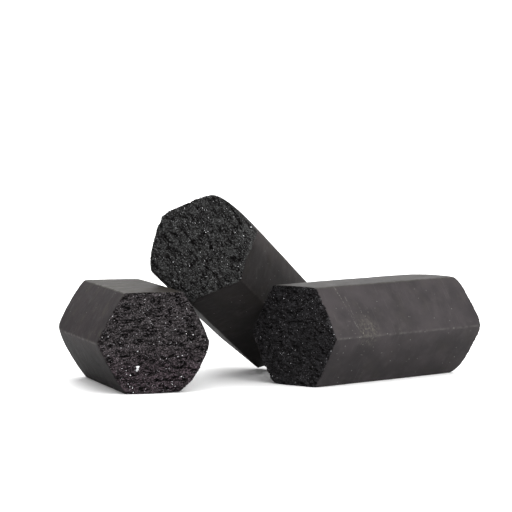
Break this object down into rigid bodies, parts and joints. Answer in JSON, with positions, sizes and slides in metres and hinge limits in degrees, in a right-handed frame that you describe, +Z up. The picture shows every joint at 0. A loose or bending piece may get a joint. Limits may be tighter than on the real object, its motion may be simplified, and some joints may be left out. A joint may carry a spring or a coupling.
{
  "type": "charcoal sticks",
  "caption": "Thick hexagonal sticks of pressed charcoal with rough broken ends, lying loosely together, with the middle stick leaning across its neighbours.",
  "frame": {"origin": "on the table, under the middle of the three sticks' bounding box", "axes": "+Z up; +X to the right, along the longest side of the set; +Y away from the near broken ends"},
  "size_m": [0.1078, 0.0784, 0.0478],
  "materials": {
    "charcoal": "matt pressed sides, rough granular broken ends"
  },
  "bodies": {
    "right_stick": {"right_stick": "charcoal"},
    "leaning_stick": {"leaning_stick": "charcoal"},
    "left_stick": {"left_stick": "charcoal"}
  },
  "joints": [
    {"name": "leaning_stick_lift", "type": "slide", "parent": "right_stick", "child": "leaning_stick", "axis": [0, 0, 1], "range_m": [0, 0.08]},
    {"name": "left_stick_slide", "type": "slide", "parent": "right_stick", "child": "left_stick", "axis": [-1, 0, 0], "range_m": [0, 0.06]}
  ]
}
